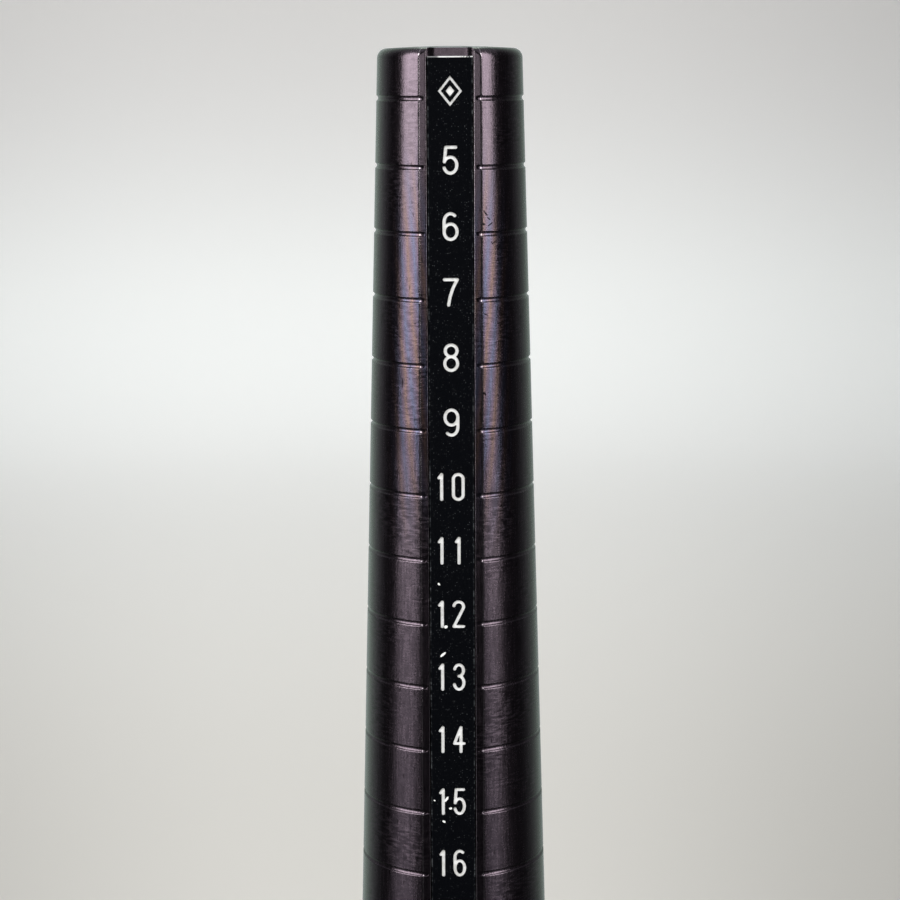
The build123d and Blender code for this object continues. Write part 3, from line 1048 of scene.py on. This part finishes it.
@dataclass
class Grip:
    """Turned handle with two diamond-knurled bands."""

    radius: float = 12.5 * MM
    waist_depth: float = 1.1 * MM
    band_length: float = 27.0 * MM
    end_margin: float = 5.0 * MM
    relief_width: float = 1.6 * MM
    relief_depth: float = 0.7 * MM
    end_chamfer: float = 0.8 * MM
    knurl_height: float = 0.3 * MM
    knurl_columns: int = 64
    knurl_rows: int = 25
    edge_softness: float = 0.2 * MM

    def __post_init__(self) -> None:
        """Take the grip's ends from its CAD node."""
        low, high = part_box("grip")
        self.base = low.z
        self.top = high.z
        self.lower_band = self.base + self.end_margin
        self.upper_band = self.top - self.end_margin - self.band_length

    def outline(self) -> list[Point]:
        """Outline of the turned body, with the bands at the bottom of their knurl."""
        soft = self.edge_softness
        full = self.radius
        band = full - self.knurl_height
        relief = full - self.relief_depth
        waist = full - self.waist_depth
        lower_top = self.lower_band + self.band_length
        upper_top = self.upper_band + self.band_length
        corners = [
            (0.0, self.base, 0.0),
            (full - self.end_chamfer, self.base, soft),
            (full, self.base + self.end_chamfer, soft),
            (full, self.lower_band - self.relief_width, soft),
            (relief, self.lower_band - self.relief_width, soft),
            (relief, self.lower_band, soft),
            (band, self.lower_band, soft),
            (band, lower_top, soft),
            (waist, lower_top + self.waist_depth, 3 * soft),
            (waist, self.upper_band - self.waist_depth, 3 * soft),
            (band, self.upper_band, soft),
            (band, upper_top, soft),
            (relief, upper_top, soft),
            (relief, upper_top + self.relief_width, soft),
            (full, upper_top + self.relief_width, soft),
            (full, self.top - self.end_chamfer, soft),
            (full - self.end_chamfer, self.top, soft),
            (0.0, self.top, 0.0),
        ]
        return rounded_outline(corners)

    def knurl_tree(self, inputs: dict[str, Any]) -> Tree:
        """Geometry Nodes tree for one band of diamonds round the grip.

        Args:
            inputs: value of each named input.

        Returns:
            The tree.
        """
        tree, source = new_geometry_tree("diamond_knurl", inputs)
        total = source["Columns"] * source["Rows"]
        index = Value(add_node(tree, "GeometryNodeInputIndex").outputs[0])
        column = maths("MODULO", index, source["Columns"])
        row = maths("FLOOR", index / source["Columns"])
        shift = maths("MODULO", row, 2.0) * 0.5
        turn = 2 * math.pi / source["Columns"]
        angle = (column + shift) * turn
        pitch = source["Length"] / (source["Rows"] + 1.0)
        height = source["Base"] + (row + 1.0) * pitch
        sunk = source["Radius"] - source["Height"] * 1.25
        inputs = {0: sunk * maths("COSINE", angle), 1: sunk * maths("SINE", angle), 2: height}
        place = add_node(tree, "ShaderNodeCombineXYZ", inputs=inputs)
        inputs = {"Count": total, "Position": place.outputs[0], "Radius": MM}
        points = add_node(tree, "GeometryNodePoints", inputs=inputs)
        half_width = turn * source["Radius"] * 0.5
        diamond = add_node(
            tree,
            "GeometryNodeMeshCone",
            {"fill_type": "NGON"},
            {
                "Vertices": 4,
                "Radius Top": half_width * 0.16,
                "Radius Bottom": half_width * 1.16,
                "Depth": source["Height"] * 1.25,
            },
        )
        turned = add_node(tree, "ShaderNodeCombineXYZ", inputs={0: 0.0, 1: math.pi / 2, 2: angle})
        size = add_node(tree, "ShaderNodeCombineXYZ", inputs={0: pitch / half_width, 1: 1.0, 2: 1.0})
        inputs = {
            "Points": points.outputs[0],
            "Instance": diamond.outputs["Mesh"],
            "Rotation": turned.outputs[0],
            "Scale": size.outputs[0],
        }
        placed = add_node(tree, "GeometryNodeInstanceOnPoints", inputs=inputs)
        finish_geometry_tree(tree, placed.outputs[0], source["Material"])
        return tree

    def build(self) -> None:
        """Build the grip's body and its two knurled bands."""
        finish = DyedAnodised(
            name="dyed anodised grip",
            base="#4d464f",
            tint_low=-60.0,
            tint_high=-10.0,
            flat_edge=-1.0,
            roughness=0.34,
            anisotropy=0.3,
        ).make()
        body = new_object("grip_body", revolved("grip_body", self.outline(), 160))
        body.data.set_sharp_from_angle(angle=SHARP_ANGLE)
        body.data.materials.append(finish)
        place_piece(body, ["grip"])
        inputs = {
            "Radius": self.radius,
            "Base": self.lower_band,
            "Length": self.band_length,
            "Columns": self.knurl_columns,
            "Rows": self.knurl_rows,
            "Height": self.knurl_height,
            "Material": finish,
        }
        tree = self.knurl_tree(inputs)
        for name, base in (("grip_knurl_lower", self.lower_band), ("grip_knurl_upper", self.upper_band)):
            start = bpy.data.meshes.new(name)
            place_piece(run_geometry_tree(name, start, tree, {**inputs, "Base": base}))


@dataclass
class Fittings:
    """Collar, foot and fixings, which keep their CAD shape."""

    def build(self) -> None:
        """Dress the fittings' CAD nodes."""
        satin = TurnedMetal("satin turned aluminium", "#d4d5d8", "#bfc1c5", 0.38, 0.3)
        steel = TurnedMetal("zinc plated steel", "#b9bab4", "#a3a49f", 0.32, 0.3)
        ground = TurnedMetal("ground steel", "#bdbfc2", "#a4a6a9", 0.2, 0.6, 0.1)
        rubber = MouldedPlastic("black rubber", "#1b1b1c", "#2b2a29", 0.75, 0.4, 0.03, 1.52)
        finishes = {
            satin: ("collar", "foot_plug"),
            steel: ("clamp_screw", "screw_washer"),
            ground: ("index_pin",),
            rubber: ("foot_pad",),
        }
        for finish, nodes in finishes.items():
            material = finish.make()
            for node in nodes:
                dress_node(node, material)


# ---- Studio ----


@dataclass(frozen=True)
class SoftBox:
    """A rectangular soft light that faces the barrel, as bright all over as its radiance says."""

    name: str
    azimuth: float
    elevation: float
    distance: float
    width: float
    height: float
    radiance: float
    mirrored: bool = True  # whether polished metal shows it

    def build(self, target: Vector) -> None:
        """Add the light, facing a target."""
        a, e = math.radians(self.azimuth), math.radians(self.elevation)
        back = Vector((math.sin(a) * math.cos(e), -math.cos(a) * math.cos(e), math.sin(e)))
        lamp = bpy.data.lights.new(self.name, "AREA")
        lamp.shape = "RECTANGLE"
        lamp.size = self.width
        lamp.size_y = self.height
        lamp.energy = self.radiance * math.pi * self.width * self.height
        made = new_object(self.name, lamp)
        made.location = target + back * self.distance
        made.rotation_euler = (-back).to_track_quat("-Z", "Y").to_euler()
        made.visible_glossy = self.mirrored
        made.visible_camera = False


@dataclass
class Studio:
    """Pale round cove, soft lights and the camera."""

    floor_radius: float = 1.4
    cove_radius: float = 0.9
    wall_height: float = 2.6
    floor_colour: str = "#e9e8e5"
    # painted shade: a darker, warmer colour for the middle of the floor
    painted_shade_floor: str = "#d7d5ce"
    lights: tuple[SoftBox, ...] = (
        SoftBox("left_soft_box", -62.5, 22.0, 0.6, 0.33, 0.55, 5.7),
        SoftBox("right_soft_box", 58.0, 22.0, 0.6, 0.22, 0.55, 5.4),
        SoftBox("window_behind_camera", -0.5, 8.0, 1.0, 0.16, 0.22, 2.1),
        SoftBox("window_to_its_left", -11.0, 7.0, 1.0, 0.08, 0.22, 6.0),
        SoftBox("back_strip", 180.0, 50.0, 0.8, 0.18, 0.5, 3.0),
        SoftBox("front_fill", 0.0, 52.0, 0.9, 0.7, 0.4, 5.5, mirrored=False),
    )
    focal_length: float = 92.0
    camera_distance: float = 220.9 * MM
    camera_below_tip: float = 2.52 * MM
    camera_tilt: float = 9.31
    camera_roll: float = -0.27
    camera_turn: float = 0.04
    target_below_tip: float = 30.0 * MM

    def cove(self) -> None:
        """Floor that sweeps up into a round wall."""
        outline: list[Point] = [(0.0, 0.0), (self.floor_radius, 0.0)]
        steps = 24
        for step in range(1, steps + 1):
            angle = math.pi / 2 * step / steps
            outline.append(
                (
                    self.floor_radius + self.cove_radius * math.sin(angle),
                    self.cove_radius * (1 - math.cos(angle)),
                )
            )
        outline.append((self.floor_radius + self.cove_radius, self.wall_height))
        mesh = revolved("studio_cove", outline, 96)
        mesh.flip_normals()
        cove = new_object("studio_cove", mesh)
        mesh.materials.append(self.paint_with_painted_light())
        cove.visible_glossy = False

    def paint_with_painted_light(self) -> bpy.types.Material:
        """Matte white paint with painted light: a painted glow, brightest where the floor turns up, painted
        shade towards the sides and a darker middle of the floor.
        """
        values = {"Roughness": 0.9, "Specular_IOR_Level": 0.0}
        material, tree, shader = new_shader("matte cove paint with painted light", **values)
        at = Coordinates.of(tree, 1.0)
        spread = hypotenuse(at.x, at.y)
        share = spread / ((self.floor_radius + self.cove_radius) / MM)
        # Painted shade: the floor is darker towards its middle
        floor_with_painted_shade = blend_colours(remap(share, 0.2, 0.75), linear(self.painted_shade_floor), linear(self.floor_colour))
        # Painted shade: colour and glow fall off towards the sides, by bearing from the middle
        bearing = at.x / spread + 0.05
        painted_side_shade = remap(abs(bearing), 0.05, 0.42, 1.1, 0.73)
        inputs = {0: floor_with_painted_shade, "Scale": painted_side_shade}
        painted = add_node(tree, "ShaderNodeVectorMath", {"operation": "SCALE"}, inputs)
        feed(shader, {"Base Color": painted.outputs[0]})
        # Painted glow: the paint emits light of its own, none in the middle of the floor and most where it
        # turns up
        stops = {
            0.2: "#000000",
            0.35: "#7c7c79",
            0.5: "#8e908e",
            0.62: "#9da09f",
            0.77: "#b4b9b8",
            0.89: "#767373",
            1.0: "#6c6c6a",
        }
        painted_glow = colour_ramp(share, stops, "B_SPLINE")
        feed(shader, {"Emission Color": painted_glow, "Emission Strength": painted_side_shade})
        material.cycles.emission_sampling = "NONE"
        return material

    def surroundings(self) -> None:
        """Dim room with a pale wall behind and a bright ceiling, seen in reflections."""
        world = bpy.data.worlds.new("studio")
        bpy.context.scene.world = world
        world.use_nodes = True
        tree = world.node_tree
        tree.nodes.clear()
        way = add_node(tree, "ShaderNodeTexCoord").outputs["Generated"]
        split = add_node(tree, "ShaderNodeSeparateXYZ", inputs={0: way})
        across, away, up = map(Value, split.outputs)
        behind = remap(away, 0.15, 1.0, 0.0, 0.62)
        wall = behind * remap(across, -1.0, 1.0, 1.2, 0.7)
        ceiling = remap(up, 0.55, 0.9, 0.0, 0.5)
        side = maths("MAXIMUM", across * 1.12, across * -1.0)
        sideways = remap(side, 0.68, 0.78) * remap(side, 0.99, 0.92)
        ahead = remap(away, 0.0, -0.2)
        low = remap(up, 0.05, -0.05, 0.0, 0.42)
        table = sideways * ahead * low
        room = maths("MAXIMUM", maths("MAXIMUM", wall, ceiling), table)
        light = room + 0.04
        inputs = {"Strength": light, "Color": linear("#eef0fa")}
        back = add_node(tree, "ShaderNodeBackground", inputs=inputs)
        add_node(tree, "ShaderNodeOutputWorld", inputs={"Surface": back.outputs[0]})

    def camera(self) -> None:
        """Camera at the level of the top end, looking a little down."""
        data = bpy.data.cameras.new("camera")
        data.sensor_width = 36.0
        data.lens = self.focal_length
        made = new_object("camera", data)
        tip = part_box("barrel")[1].z
        turn = Matrix.Rotation(math.radians(self.camera_turn), 4, "Z")
        tilt = Matrix.Rotation(math.radians(90 - self.camera_tilt), 4, "X")
        roll = Matrix.Rotation(math.radians(self.camera_roll), 4, "Z")
        place = Matrix.Translation((0.0, -self.camera_distance, tip - self.camera_below_tip))
        made.matrix_world = place @ turn @ tilt @ roll
        bpy.context.scene.camera = made

    def build(self) -> None:
        """Build the studio round the barrel."""
        bpy.context.scene.view_settings.view_transform = "Standard"
        target = Vector((0.0, 0.0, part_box("barrel")[1].z - self.target_below_tip))
        self.camera()
        self.cove()
        self.surroundings()
        for light in self.lights:
            light.build(target)


def main() -> None:
    """Build every sub-assembly in order, then the studio."""
    logging.basicConfig(level=logging.INFO, format="%(name)s: %(message)s")
    Studio().build()
    Barrel().build()
    IndexStrip().build()
    Grip().build()
    Fittings().build()


if __name__ == "__main__":
    main()
